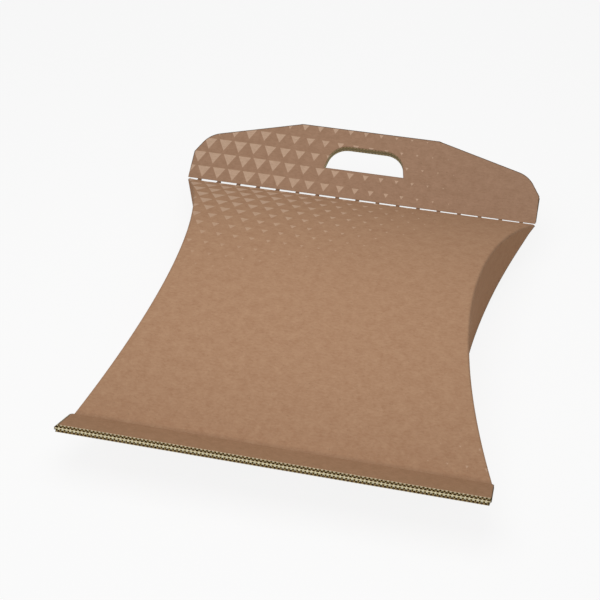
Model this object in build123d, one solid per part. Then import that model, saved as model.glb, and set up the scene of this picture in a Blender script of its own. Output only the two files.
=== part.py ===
from build123d import *

import os
from math import atan, cos, degrees, radians, sin, tan

# A pillow box with a carry handle, die cut from one sheet of corrugated board, folded and glued.
# Millimetres. X runs along the two straight folds, Y from the front flange to the handle and Z up.
# The origin is the middle of the flat strip of the lower panel that the box rests on.

# Board: two liners with a fluted sheet between them
board_thickness = 3.0
liner_thickness = 0.4
fluting_thickness = 0.4
flute_pitch = 3.0
flute_foot = 0.3
flute_pocket_depth = 5.0
flute_edge_margin = 1.6

# Body between the front fold and the back fold of the top panel
box_width = 320.0
box_length = 311.0
top_rise = 37.2
lower_depth = 33.6
rest_strip = 44.0
end_inset = 37.2
crease_radius = 2.0

# End flaps: the outer one hangs from the top panel, the inner one stands on the lower panel
flap_seam = 0.5
flap_seam_margin = 24.0
inner_flap_clearance = 2.0

# Front flange, where the two ends of the sheet are glued together
flange_depth = 28.5
flange_overhang = 1.7
flange_corner_radius = 2.5

# Carry handle, two plies folded over at the crest
hole_base = 28.6
hole_height = 24.4
hole_width = 75.0
hole_corner_radius = 20.0
grip_depth = 17.6
crest_length = 127.5
crest_radius = 2.4
shoulder_drop = 23.7
shoulder_inset = 10.8
shoulder_radius = 24.0
side_drop = 42.6

# Perforated back fold: slots through both plies between narrow ties
tie_count = 17
tie_width = 3.8
slot_width = 2.7
end_slot_length = 9.3
slot_lean = 45.0

# One overrun for every cut, and the shares that hold a rounding inside its wall
cut_overrun = 10.0
tangent_limit_share = 0.9
corner_limit_share = 0.95

# Section values that follow from the sizes above
half_width = box_width / 2
half_length = box_length / 2
half_strip = rest_strip / 2
two_plies = 2 * board_thickness
wing_tilt = 2 * atan(lower_depth / (half_length - half_strip))
sweep_radius = lower_depth / (1 - cos(wing_tilt))
sweep_centre = board_thickness + sweep_radius
meeting_height = board_thickness + lower_depth
fold_height = meeting_height + board_thickness / cos(wing_tilt)
crown_height = fold_height + top_rise
inner_crown = crown_height - board_thickness
end_radius = (half_length**2 + end_inset**2) / (2 * end_inset)
end_centre = half_width - end_inset + end_radius
end_wall = two_plies + flap_seam
seam_reach = half_length - flap_seam_margin
handle_height = hole_base + hole_height + grip_depth
flange_width = box_width + 2 * flange_overhang


def sweep_point(radius, angle, side):
    """Point of the lower panel's rising stretch, in Y and Z, on one side of the rest strip."""
    return side * (half_strip + radius * sin(angle)), sweep_centre - radius * cos(angle)


def lower_run(radius):
    """Edges of one face of the lower panel: two rising stretches and the rest strip."""
    strip_level = sweep_centre - radius
    edges = [Line((half_strip, strip_level), (-half_strip, strip_level))]
    for side in (1, -1):
        far_end = sweep_point(radius, wing_tilt, side)
        middle = sweep_point(radius, wing_tilt / 2, side)
        edges.append(ThreePointArc(far_end, middle, (side * half_strip, strip_level)))
    return edges


def top_run(end_height, middle_height):
    """Edge of one face of the top panel, bowed from the front fold to the back fold."""
    return ThreePointArc((-half_length, end_height), (0, middle_height), (half_length, end_height))


def full_width(section):
    """Prism of a Y and Z section over the whole width between the corners."""
    return extrude(Plane.YZ * section, amount=half_width, both=True)


def body_envelope():
    """Outer form between the folds, before the ends are bowed in."""
    outer_radius = sweep_radius + board_thickness
    edges = [top_run(fold_height, crown_height)] + lower_run(outer_radius)
    for side in (1, -1):
        fold = (side * half_length, fold_height)
        under_y = side * (half_length + two_plies * sin(wing_tilt))
        under_fold = (under_y, fold_height - two_plies * cos(wing_tilt))
        edges.append(Line(fold, under_fold))
        edges.append(Line(under_fold, sweep_point(outer_radius, wing_tilt, side)))
    return full_width(make_face(edges))


def end_discs(offset):
    """Upright discs beyond both ends that reach an offset in from the outer flaps' faces."""
    disc = Cylinder(end_radius + offset, 2 * (crown_height + cut_overrun))
    return [Rot(0, 0, turn) * Pos(end_centre, 0, 0) * disc for turn in (0, 180)]


def end_bands(outer_offset, inner_offset):
    """Upright curved bands at both ends, between two offsets in from the outer flaps' faces."""
    outer_right, outer_left = end_discs(outer_offset)
    inner_right, inner_left = end_discs(inner_offset)
    return (inner_right - outer_right) + (inner_left - outer_left)


def bowed_body():
    """Outer form with its ends bowed in and the two curved creases of the top panel rounded."""
    body = body_envelope() - end_discs(0)
    top_panel = body.faces().sort_by(Axis.Z)[-1]
    creases = top_panel.edges().filter_by(Axis.X, reverse=True)
    return fillet(creases, min(crease_radius, corner_limit_share * board_thickness))


def hollow_inside():
    """Lens-shaped space between the two panels and the inner flaps."""
    section = make_face([top_run(meeting_height, inner_crown)] + lower_run(sweep_radius))
    return full_width(section) - end_discs(end_wall)


def under_top_panel():
    """Section from the top panel's inner face to below the box, within the reach of the seams."""
    low = -cut_overrun
    back_end = (half_length, meeting_height)
    front_end = (-half_length, meeting_height)
    frame = Polyline(back_end, (half_length, low), (-half_length, low), front_end)
    window = Rectangle(2 * seam_reach, 2 * (crown_height + cut_overrun))
    return make_face([top_run(meeting_height, inner_crown), frame]) & window


def flap_seams():
    """Narrow space between the outer and inner flaps, open along the lower edge of each end."""
    bands = end_bands(board_thickness, board_thickness + flap_seam)
    return full_width(under_top_panel()) & bands


def inner_flap_tops():
    """Space between the free edge of each inner flap and the top panel."""
    section = under_top_panel()
    bands = end_bands(board_thickness, end_wall)
    return full_width(section - Pos(0, -inner_flap_clearance) * section) & bands


def wing_plane(side):
    """Upper face of the handle or the flange, with its y axis leading away from the fold."""
    return Plane(
        origin=(0, side * half_length, fold_height),
        x_dir=(side, 0, 0),
        z_dir=(0, -side * sin(wing_tilt), cos(wing_tilt)),
    )


def fitting_radius(wanted, before, corner, after):
    """The wanted corner radius, held back where its tangents would outrun either side."""
    run_in = Vector(*corner) - Vector(*before)
    run_out = Vector(*after) - Vector(*corner)
    half_turn = radians(run_in.get_angle(run_out)) / 2
    shorter = min(run_in.length, run_out.length)
    return min(wanted, tangent_limit_share * shorter / tan(half_turn))


def handle_outline():
    """Handle's face: straight sides, cut shoulders and slants that rise to the crest."""
    side_end = (half_width, handle_height - side_drop)
    shoulder = (half_width - shoulder_inset, handle_height - shoulder_drop)
    crest_end = (crest_length / 2, handle_height)
    right_side = [(half_width, 0), side_end, shoulder, crest_end]
    left_side = [(-x, y) for x, y in reversed(right_side)]
    outline = make_face(Polyline(*right_side, *left_side, close=True))
    radius = fitting_radius(shoulder_radius, side_end, shoulder, crest_end)
    return fillet(outline.vertices().group_by(Axis.Y)[-2], radius)


def hand_hole():
    """Opening for the hand: a straight base and rounded upper corners."""
    radius = min(hole_corner_radius, corner_limit_share * min(hole_height, hole_width / 2))
    opening = Pos(0, hole_base + hole_height / 2) * Rectangle(hole_width, hole_height)
    return fillet(opening.vertices().group_by(Axis.Y)[-1], radius)


def handle():
    """Two-ply handle with its folded crest and hand hole."""
    slab = extrude(handle_outline(), -two_plies)
    crest_edges = slab.edges().filter_by(Axis.X).group_by(Axis.Y)[-1]
    slab = fillet(crest_edges, min(crest_radius, corner_limit_share * board_thickness))
    slab -= extrude(hand_hole(), amount=two_plies + cut_overrun, both=True)
    return wing_plane(1) * slab


def flange():
    """Glued two-ply flange, a little wider than the body."""
    outline = Pos(0, flange_depth / 2) * Rectangle(flange_width, flange_depth)
    radius = min(flange_corner_radius, corner_limit_share * flange_depth)
    outline = fillet(outline.vertices().group_by(Axis.Y)[-1], radius)
    return wing_plane(-1) * extrude(outline, -two_plies)


def flute_pockets():
    """Open flute ends of both plies along the flange's front edge."""
    half_gap = (flute_pitch - flute_foot) / 2
    core_half = board_thickness / 2 - liner_thickness
    tip = core_half - fluting_thickness
    rising = make_face(Polyline((-half_gap, -core_half), (half_gap, -core_half), (0, tip), close=True))
    falling = Pos(flute_pitch / 2, 0) * Rot(0, 0, 180) * rising
    flute_count = int((flange_width - 2 * flute_edge_margin) / flute_pitch)
    first = -flute_pitch * flute_count / 2 + flute_pitch / 4
    front_edge = wing_plane(-1) * Pos(0, flange_depth, 0) * Rot(-90, 0, 0)
    pockets = []
    for ply in range(2):
        for number in range(flute_count):
            place = front_edge * Pos(first + number * flute_pitch, (ply + 1 / 2) * board_thickness)
            pockets += [extrude(place * gap, -flute_pocket_depth) for gap in (rising, falling)]
    return pockets


def perforation():
    """Slots along the back fold, the outermost two running out through the sides."""
    tie_pitch = (box_width - 2 * end_slot_length - tie_width) / (tie_count - 1)
    first_slot = -tie_pitch * (tie_count - 2) / 2
    run_out = end_slot_length + cut_overrun
    run_out_middle = half_width - end_slot_length + run_out / 2
    slots = [(first_slot + number * tie_pitch, tie_pitch - tie_width) for number in range(tie_count - 1)]
    slots += [(-run_out_middle, run_out), (run_out_middle, run_out)]
    fold = Pos(0, half_length, fold_height) * Rot(slot_lean, 0, 0)
    depth = 2 * (two_plies + slot_width)
    return [fold * Pos(x, 0, 0) * Box(length, slot_width, depth) for x, length in slots]


def pillow_box():
    """The whole folded sheet as one solid."""
    body = bowed_body() - hollow_inside() - flap_seams() - inner_flap_tops()
    body = body + handle() + flange()
    return body - perforation() - flute_pockets()


os.makedirs("parts", exist_ok=True)
export_step(pillow_box(), "parts/pillow_box.step")
print(f"wing tilt {degrees(wing_tilt):.2f} degrees, fold {fold_height:.2f}, crown {crown_height:.2f}")
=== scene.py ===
"""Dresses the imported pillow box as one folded, glued and printed sheet of corrugated kraft board."""

import logging
import math
from abc import ABC, abstractmethod
from dataclasses import dataclass, field
from enum import Enum
from typing import Iterable, Optional, Sequence, Union

import bmesh
import bpy
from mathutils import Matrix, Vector


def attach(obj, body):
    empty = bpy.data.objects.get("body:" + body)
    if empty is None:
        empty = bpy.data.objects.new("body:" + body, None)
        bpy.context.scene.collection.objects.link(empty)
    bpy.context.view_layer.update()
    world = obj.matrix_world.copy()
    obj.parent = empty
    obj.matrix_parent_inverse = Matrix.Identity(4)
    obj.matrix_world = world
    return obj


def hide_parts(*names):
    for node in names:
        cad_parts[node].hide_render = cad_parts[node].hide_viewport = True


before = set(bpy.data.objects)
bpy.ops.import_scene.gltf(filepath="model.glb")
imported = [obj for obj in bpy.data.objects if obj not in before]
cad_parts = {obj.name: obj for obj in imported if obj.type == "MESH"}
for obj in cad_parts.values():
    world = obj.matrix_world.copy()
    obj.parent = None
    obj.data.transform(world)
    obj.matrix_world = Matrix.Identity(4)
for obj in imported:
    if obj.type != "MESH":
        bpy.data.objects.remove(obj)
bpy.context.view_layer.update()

# Names that the frame knows
CAD_NODE = "pillow_box"
BODY = "root"

# Units, angles and the distance within which two points are one
MM = 0.001
RIGHT_ANGLE = math.pi / 2
SHARP_ANGLE = math.radians(40.0)
WELD = 0.001 * MM

# What the meshes carry for the materials: place on the flat sheet, painted shade and wear, and glued crests
FLAT_MAP = "flat_sheet"
SHADE_AND_WEAR = "painted_shade_and_wear"
GLUE = "glue_line"

# Colour sockets of the mix node, which has sockets of the same names for numbers
MIX_A, MIX_B, MIX_RESULT = 6, 7, 2

# Scale at which the wave texture draws one band to the metre
WAVE_UNIT = math.tau / 20

Tree = bpy.types.NodeTree
Socket = bpy.types.NodeSocket
Material = bpy.types.Material
Piece = bpy.types.Object
Point2 = tuple[float, float]
Point4 = tuple[float, float, float, float]
Outlines = Sequence[Sequence[Point2]]
Corner = tuple[Point2, float]
GridPoint = tuple[Vector, Point2, float]
SocketValue = Union[Socket, Material, Vector, float, int, bool, str, tuple]

log = logging.getLogger("pillow_box")


def linear(hex_colour: str) -> Point4:
    """Turns an sRGB hex colour into a linear one with full alpha, by the curve of the sRGB standard.

    Args:
        hex_colour: Six hex digits after a number sign.

    Returns:
        Linear red, green, blue and alpha.
    """
    channels = [int(hex_colour[start:start + 2], 16) / 255 for start in (1, 3, 5)]
    return *[c / 12.92 if c <= 0.04045 else ((c + 0.055) / 1.055) ** 2.4 for c in channels], 1.0


def add(tree: Tree, kind: str, inputs: Optional[dict[Union[str, int], SocketValue]] = None,
        **settings: Union[str, bool]) -> bpy.types.Node:
    """Adds one node with its settings, its input values and its links.

    Args:
        tree: Tree that the node goes into.
        kind: Blender's name of the node type.
        inputs: Value or output socket for each input, by name or number.
        **settings: Properties set on the node itself.

    Returns:
        The new node.
    """
    node = tree.nodes.new(kind)
    for name, value in settings.items():
        setattr(node, name, value)
    for key, value in (inputs or {}).items():
        if isinstance(value, Socket):
            tree.links.new(value, node.inputs[key])
        else:
            node.inputs[key].default_value = value
    return node


class Wing(Enum):
    """The two flat wings that continue the lower panel past its folds, by the sign of their Y."""

    FLANGE = -1
    HANDLE = 1


class Ply(Enum):
    """The two boards of a wing, by their order from its upper face."""

    UPPER = 0
    LOWER = 1

    @property
    def phase(self) -> float:
        """Part of a turn that the board's wave has made at the middle of the box."""
        return 0.25 if self is Ply.UPPER else 0.75

    @property
    def glued_side(self) -> float:
        """Sign of the wave at the crests that face the other board."""
        return -1.0 if self is Ply.UPPER else 1.0


class Side(Enum):
    """What one face of a sheet shows, by its place among the sheet's finishes."""

    PRINTED = 0
    PLAIN = 1
    INNER = 2
    EDGE = 3


class Edge(Enum):
    """What a cut edge belongs to: an upper liner, the glued pair, a lower liner or crushed flutes."""

    UPPER = "upper"
    MIDDLE = "middle"
    LOWER = "lower"
    CRUSHED = "crushed"


@dataclass(frozen=True)
class WingFrame:
    """Upper face of a wing: its fold line, the way out from the fold and the way up from the face."""

    fold: Vector
    out: Vector
    up: Vector

    def place(self, x: float, reach: float, rise: float) -> Vector:
        """Point at x along the fold, a reach out from it and a rise above the wing's upper face."""
        return self.fold + Vector((x, 0.0, 0.0)) + reach * self.out + rise * self.up


@dataclass(frozen=True)
class BoxForm:
    """Driving sizes of the folded sheet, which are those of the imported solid."""

    board: float = 3.0 * MM
    liner: float = 0.4 * MM
    flute_pitch: float = 3.0 * MM
    width: float = 320.0 * MM
    length: float = 311.0 * MM
    top_rise: float = 37.2 * MM
    lower_depth: float = 33.6 * MM
    rest_strip: float = 44.0 * MM
    end_inset: float = 37.2 * MM
    flap_seam: float = 0.5 * MM
    slot_width: float = 2.7 * MM
    slot_lean: float = math.radians(45.0)

    @property
    def half_width(self) -> float:
        """Half the body's width at its four corners."""
        return self.width / 2

    @property
    def half_length(self) -> float:
        """Half the body's length between its two folds."""
        return self.length / 2

    @property
    def wing_thickness(self) -> float:
        """Two boards, one on the other."""
        return 2 * self.board

    @property
    def tilt(self) -> float:
        """Angle by which both wings rise from the level."""
        return 2 * math.atan(self.lower_depth / (self.half_length - self.rest_strip / 2))

    @property
    def fold_height(self) -> float:
        """Height of the two folds of the top panel."""
        return self.board + self.lower_depth + self.board / math.cos(self.tilt)

    @property
    def top_radius(self) -> float:
        """Radius of the top panel's outer face."""
        return (self.half_length ** 2 + self.top_rise ** 2) / (2 * self.top_rise)

    @property
    def fold_angle(self) -> float:
        """Slope of the top panel where it meets a fold."""
        return math.asin(self.half_length / self.top_radius)

    @property
    def lower_radius(self) -> float:
        """Radius of the lower panel's outer face beside the rest strip."""
        return self.lower_depth / (1 - math.cos(self.tilt)) + self.board

    @property
    def top_slot_edge(self) -> float:
        """Distance along the top panel from the back fold to the perforation's slots."""
        return self.slot_width / 2 / math.sin(self.slot_lean - self.fold_angle)

    def handle_slot_edge(self, depth: float) -> float:
        """Distance from the back fold to the slots' far wall, at a depth in the handle."""
        lean = self.slot_lean - self.tilt
        return self.slot_width / 2 / math.cos(lean) + depth * math.tan(lean)

    def ply_middle(self, ply: Ply) -> float:
        """Depth of the middle of one board under a wing's upper face."""
        return (ply.value + 0.5) * self.board

    def end_line(self, y: float, inset: float) -> float:
        """Half the body's width at a place along its length, an inset behind its bowed ends."""
        radius = (self.half_length ** 2 + self.end_inset ** 2) / (2 * self.end_inset)
        return self.half_width - self.end_inset + radius - math.sqrt((radius + inset) ** 2 - y ** 2)

    def top_line(self, y: float) -> float:
        """Height of the top panel's outer face at a place along the length."""
        sag = self.top_radius - math.sqrt(self.top_radius ** 2 - y ** 2)
        return self.fold_height + self.top_rise - sag

    def lower_line(self, y: float) -> float:
        """Height of the lower panel's outer face at a place along the length."""
        past_strip = max(abs(y) - self.rest_strip / 2, 0.0)
        return self.lower_radius - math.sqrt(self.lower_radius ** 2 - past_strip ** 2)

    def wing(self, wing: Wing) -> WingFrame:
        """Frame of the flange or the handle.

        Args:
            wing: Which of the two wings.

        Returns:
            The wing's fold and its two directions.
        """
        side = wing.value
        fold = Vector((0.0, side * self.half_length, self.fold_height))
        out = Vector((0.0, side * math.cos(self.tilt), math.sin(self.tilt)))
        up = Vector((0.0, -side * math.sin(self.tilt), math.cos(self.tilt)))
        return WingFrame(fold, out, up)


@dataclass(frozen=True)
class HalftoneFade:
    """Pale ink in rows of small triangles that shrink away from two corners of the sheet."""

    ink: str = "#ccad94"
    column_pitch: float = 14.35 * MM
    row_pitch: float = 14.63 * MM
    first_column: float = 10.5 * MM
    first_row: float = 8.5 * MM
    row_shift: float = 0.5
    full_width: float = 12.1 * MM
    height_share: float = 0.92
    least_height: float = 0.01 * MM
    main_corner: Point2 = (-150.0 * MM, -8.0 * MM)
    far_corner: Point2 = (304.0 * MM, -415.0 * MM)
    length_share: float = 1.3
    full_reach: float = 73.0 * MM
    fade_reach: float = 193.0 * MM
    fade_power: float = 1.3
    # The ink thins out from the back fold, and is fuller again towards the front.
    back_ink_from: float = -40.0 * MM
    back_ink_to: float = -195.0 * MM
    back_ink_least: float = 0.15
    front_ink_from: float = -200.0 * MM
    front_ink_to: float = -300.0 * MM
    front_ink_most: float = 0.7
    # The fibres of the paper soak up part of the ink.
    soak_range: Point2 = (0.25, 0.75)
    soaked_least: float = 0.6

    def cover(self, tree: Tree, flat: Socket, fibres: Socket) -> Socket:
        """Adds the nodes that find how much ink covers the paper.

        Args:
            tree: Tree of the material.
            flat: Place on the flat sheet, in metres from the middle of the back fold.
            fibres: The paper's fibres.

        Returns:
            Socket with the share of ink.
        """
        length = add(tree, "ShaderNodeSeparateXYZ", {0: flat}).outputs["Y"]
        back = add(tree, "ShaderNodeMapRange",
                   {"Value": length, "From Min": self.back_ink_to, "From Max": self.back_ink_from,
                    "To Min": self.back_ink_least, "To Max": 1.0}).outputs[0]
        front = add(tree, "ShaderNodeMapRange",
                    {"Value": length, "From Min": self.front_ink_to, "From Max": self.front_ink_from,
                     "To Min": self.front_ink_most, "To Max": 0.0}).outputs[0]
        fuller = add(tree, "ShaderNodeMath", {0: back, 1: front}, operation="MAXIMUM").outputs[0]
        soaked = add(tree, "ShaderNodeMapRange",
                     {"Value": fibres, "From Min": self.soak_range[0], "From Max": self.soak_range[1],
                      "To Min": self.soaked_least, "To Max": 1.0}).outputs[0]
        inked = self.triangles(tree, flat)
        for share in (soaked, fuller):
            inked = add(tree, "ShaderNodeMath", {0: inked, 1: share}, operation="MULTIPLY").outputs[0]
        return inked

    def triangles(self, tree: Tree, flat: Socket) -> Socket:
        """Adds the nodes that find the inked triangles.

        Args:
            tree: Tree of the material.
            flat: Place on the flat sheet, in metres from the middle of the back fold.

        Returns:
            Socket that is one on ink and zero on bare board.
        """
        place = add(tree, "ShaderNodeSeparateXYZ", {0: flat}).outputs
        # The nearest row and column, with every other row shifted
        rows = self.steps(tree, place["Y"], self.first_row, self.row_pitch)
        row = add(tree, "ShaderNodeMath", {0: rows}, operation="ROUND").outputs[0]
        odd = add(tree, "ShaderNodeMath", {0: row, 1: 2.0}, operation="FLOORED_MODULO").outputs[0]
        shift = add(tree, "ShaderNodeMath", {0: odd, 1: self.row_shift}, operation="MULTIPLY").outputs[0]
        lined = self.steps(tree, place["X"], self.first_column, self.column_pitch)
        columns = add(tree, "ShaderNodeMath", {0: lined, 1: shift}, operation="SUBTRACT").outputs[0]
        column = add(tree, "ShaderNodeMath", {0: columns}, operation="ROUND").outputs[0]
        # The triangle's middle, and its width from there
        shifted = add(tree, "ShaderNodeMath", {0: column, 1: shift}, operation="ADD").outputs[0]
        centre_x = add(tree, "ShaderNodeMath", {0: shifted, 1: self.column_pitch, 2: self.first_column},
                       operation="MULTIPLY_ADD").outputs[0]
        centre_y = add(tree, "ShaderNodeMath", {0: row, 1: self.row_pitch, 2: self.first_row},
                       operation="MULTIPLY_ADD").outputs[0]
        stretched = add(tree, "ShaderNodeMath", {0: centre_y, 1: self.length_share},
                        operation="MULTIPLY").outputs[0]
        centre = add(tree, "ShaderNodeCombineXYZ", {0: centre_x, 1: stretched}).outputs[0]
        widths = [self.width_from(tree, centre, corner) for corner in (self.main_corner, self.far_corner)]
        width = add(tree, "ShaderNodeMath", dict(enumerate(widths)), operation="MAXIMUM").outputs[0]
        # Distances from the middle, across and along the sheet
        aside = add(tree, "ShaderNodeMath", {0: columns, 1: column}, operation="SUBTRACT").outputs[0]
        aside = add(tree, "ShaderNodeMath", {0: aside}, operation="ABSOLUTE").outputs[0]
        across = add(tree, "ShaderNodeMath", {0: aside, 1: self.column_pitch},
                     operation="MULTIPLY").outputs[0]
        along = add(tree, "ShaderNodeMath", {0: rows, 1: row}, operation="SUBTRACT").outputs[0]
        along = add(tree, "ShaderNodeMath", {0: along, 1: self.row_pitch}, operation="MULTIPLY").outputs[0]
        # The triangle widens from its tip, where the rise is zero, to its base, where it is one
        height = add(tree, "ShaderNodeMath", {0: width, 1: self.height_share},
                     operation="MULTIPLY").outputs[0]
        height = add(tree, "ShaderNodeMath", {0: height, 1: self.least_height},
                     operation="MAXIMUM").outputs[0]
        rise = add(tree, "ShaderNodeMath", {0: along, 1: height}, operation="DIVIDE").outputs[0]
        rise = add(tree, "ShaderNodeMath", {0: rise, 1: 0.5}, operation="ADD").outputs[0]
        half = add(tree, "ShaderNodeMath", {0: width, 1: 0.5}, operation="MULTIPLY").outputs[0]
        half = add(tree, "ShaderNodeMath", {0: half, 1: rise}, operation="MULTIPLY").outputs[0]
        between = add(tree, "ShaderNodeMath", {0: across, 1: half}, operation="LESS_THAN").outputs[0]
        below_base = add(tree, "ShaderNodeMath", {0: rise, 1: 1.0}, operation="LESS_THAN").outputs[0]
        return add(tree, "ShaderNodeMath", {0: between, 1: below_base}, operation="MULTIPLY").outputs[0]

    @staticmethod
    def steps(tree: Tree, place: Socket, first: float, pitch: float) -> Socket:
        """Counts steps of a pitch from the first row or column, not rounded."""
        from_first = add(tree, "ShaderNodeMath", {0: place, 1: first}, operation="SUBTRACT").outputs[0]
        return add(tree, "ShaderNodeMath", {0: from_first, 1: pitch}, operation="DIVIDE").outputs[0]

    def width_from(self, tree: Tree, centre: Socket, corner: Point2) -> Socket:
        """Adds the nodes that shrink a triangle with its distance from one corner.

        Args:
            tree: Tree of the material.
            centre: The triangle's middle, with its length already stretched.
            corner: Place that the fade starts from.

        Returns:
            Socket with the triangle's width.
        """
        start = (corner[0], self.length_share * corner[1], 0.0)
        away = add(tree, "ShaderNodeVectorMath", {0: centre, 1: start}, operation="DISTANCE")
        left = add(tree, "ShaderNodeMapRange",
                   {"Value": away.outputs["Value"], "From Min": self.full_reach, "To Min": 1.0,
                    "From Max": self.full_reach + self.fade_reach, "To Max": 0.0}).outputs[0]
        share = add(tree, "ShaderNodeMath", {0: left, 1: self.fade_power}, operation="POWER").outputs[0]
        return add(tree, "ShaderNodeMath", {0: share, 1: self.full_width}, operation="MULTIPLY").outputs[0]


@dataclass(frozen=True)
class PaperFinish(ABC):
    """What all finishes of the box share: matt paper with a fine relief, darkened where the mesh marks
    painted shade and wear.
    """

    name: str
    # Colour that the mesh's darkening mark mixes in: painted shade along folds, creases and cut edges, and
    # some wear on cut edges
    shade_and_wear_colour: str = "#5f4d3f"
    shade_and_wear_share: float = 1.0
    # Cellulose has about the shader's own IOR of 1.5, and loose fibres leave it almost no gloss.
    roughness: float = 0.9
    gloss: float = 0.1
    relief: float = 0.06 * MM
    relief_strength: float = 0.5

    @abstractmethod
    def surface(self, tree: Tree) -> tuple[Socket, Socket]:
        """Sockets with the clean paper's colour and with the height of its relief."""

    def material(self) -> Material:
        """Builds the material.

        Returns:
            Material with the paper's colour, its painted shade and wear, relief, roughness and gloss.
        """
        made = bpy.data.materials.new(self.name)
        made.use_nodes = True
        tree = made.node_tree
        shader = tree.nodes["Principled BSDF"]
        clean, height = self.surface(tree)
        # Where the mesh marks painted shade and wear, the clean paper is darkened towards that colour
        darkening = add(tree, "ShaderNodeAttribute", attribute_name=SHADE_AND_WEAR).outputs["Fac"]
        shade_and_wear_amount = add(tree, "ShaderNodeMath", {0: darkening, 1: self.shade_and_wear_share}, operation="MULTIPLY").outputs[0]
        colour = add(tree, "ShaderNodeMix", {0: shade_and_wear_amount, MIX_A: clean, MIX_B: linear(self.shade_and_wear_colour)},
                     data_type="RGBA").outputs[MIX_RESULT]
        bump = add(tree, "ShaderNodeBump",
                   {"Height": height, "Distance": self.relief, "Strength": self.relief_strength}).outputs[0]
        tree.links.new(colour, shader.inputs["Base Color"])
        tree.links.new(bump, shader.inputs["Normal"])
        shader.inputs["Roughness"].default_value = self.roughness
        shader.inputs["Specular IOR Level"].default_value = self.gloss
        return made


@dataclass(frozen=True)
class KraftLiner(PaperFinish):
    """Unbleached kraft liner, machine-made paper: matt, warm brown, with flecks and short fibres."""

    dark: str = "#a67f62"
    light: str = "#b59072"
    tone_range: Point2 = (0.69, 1.31)
    print_fade: Optional[HalftoneFade] = None
    cloud_size: float = 8.0 * MM
    cloud_detail: float = 4.0
    cloud_roughness: float = 0.6
    # Real fibres are about forty times finer than this width; drawn coarser so that they show.
    fibre_width: float = 1.5 * MM
    fibre_length: float = 3.2 * MM
    fibre_detail: float = 3.0
    fibre_curl: float = 0.6
    fleck: str = "#8d7058"
    fleck_size: float = 1.5 * MM
    fleck_detail: float = 2.0
    fleck_range: Point2 = (0.62, 0.76)
    fleck_share: float = 0.5
    # The flutes under the liner show through as a faint washboard.
    flute_pitch: float = 3.0 * MM
    washboard_share: float = 0.25

    def surface(self, tree: Tree) -> tuple[Socket, Socket]:
        """Adds the nodes of clouds, fibres, flecks and, where there is one, the print.

        Args:
            tree: Tree of the material.

        Returns:
            Sockets with the colour and with the height of the relief.
        """
        flat = add(tree, "ShaderNodeUVMap", uv_map=FLAT_MAP).outputs[0]
        clouds = add(tree, "ShaderNodeTexNoise",
                     {"Vector": flat, "Scale": 1 / self.cloud_size, "Detail": self.cloud_detail,
                      "Roughness": self.cloud_roughness}).outputs[0]
        drawn = add(tree, "ShaderNodeMapping",
                    {"Vector": flat, "Scale": (1 / self.fibre_length, 1 / self.fibre_width, 1.0)}).outputs[0]
        fibres = add(tree, "ShaderNodeTexNoise",
                     {"Vector": drawn, "Scale": 1.0, "Detail": self.fibre_detail,
                      "Distortion": self.fibre_curl}).outputs[0]
        tone = add(tree, "ShaderNodeMath", {0: clouds, 1: fibres}, operation="ADD").outputs[0]
        spread = add(tree, "ShaderNodeMapRange",
                     {"Value": tone, "From Min": self.tone_range[0],
                      "From Max": self.tone_range[1]}).outputs[0]
        specks = add(tree, "ShaderNodeTexNoise",
                     {"Vector": flat, "Scale": 1 / self.fleck_size, "Detail": self.fleck_detail}).outputs[0]
        few = add(tree, "ShaderNodeMapRange",
                  {"Value": specks, "From Min": self.fleck_range[0], "From Max": self.fleck_range[1],
                   "To Max": self.fleck_share}).outputs[0]
        layers = [(spread, self.light), (few, self.fleck)]
        if self.print_fade:
            layers.append((self.print_fade.cover(tree, flat, fibres), self.print_fade.ink))
        paper: SocketValue = linear(self.dark)
        for share, colour in layers:
            paper = add(tree, "ShaderNodeMix", {0: share, MIX_A: paper, MIX_B: linear(colour)},
                        data_type="RGBA").outputs[MIX_RESULT]
        washboard = add(tree, "ShaderNodeTexWave", {"Vector": flat, "Scale": WAVE_UNIT / self.flute_pitch},
                        bands_direction="X").outputs["Fac"]
        height = add(tree, "ShaderNodeMath", {0: washboard, 1: self.washboard_share, 2: tone},
                     operation="MULTIPLY_ADD").outputs[0]
        return paper, height


@dataclass(frozen=True)
class CutBoard(PaperFinish):
    """Raw cut edge of corrugated board: loose straw-coloured fibre, with dust, and quite matt."""

    # On cut edges the painted shade and wear is a dark olive
    shade_and_wear_colour: str = "#5d5034"
    shade_and_wear_share: float = 0.85
    roughness: float = 0.92
    gloss: float = 0.2
    relief: float = 0.05 * MM
    pale: str = "#fbf4d4"
    straw: str = "#ebe0b6"
    # Real tufts of cut fibre are about a third of this size; drawn coarser so that they show.
    fibre_size: float = 0.7 * MM
    fibre_detail: float = 3.0

    def surface(self, tree: Tree) -> tuple[Socket, Socket]:
        """Adds the nodes of a fine straw-coloured mottle.

        Args:
            tree: Tree of the material.

        Returns:
            Sockets with the colour and with the height of the relief.
        """
        place = add(tree, "ShaderNodeTexCoord").outputs["Object"]
        mottle = add(tree, "ShaderNodeTexNoise",
                     {"Vector": place, "Scale": 1 / self.fibre_size, "Detail": self.fibre_detail}).outputs[0]
        straw = add(tree, "ShaderNodeMix",
                    {0: mottle, MIX_A: linear(self.straw), MIX_B: linear(self.pale)},
                    data_type="RGBA").outputs[MIX_RESULT]
        return self.shaded(tree, straw), mottle

    def shaded(self, tree: Tree, straw: Socket) -> Socket:
        """Colour of the edge, which is the mottle itself."""
        return straw


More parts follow.
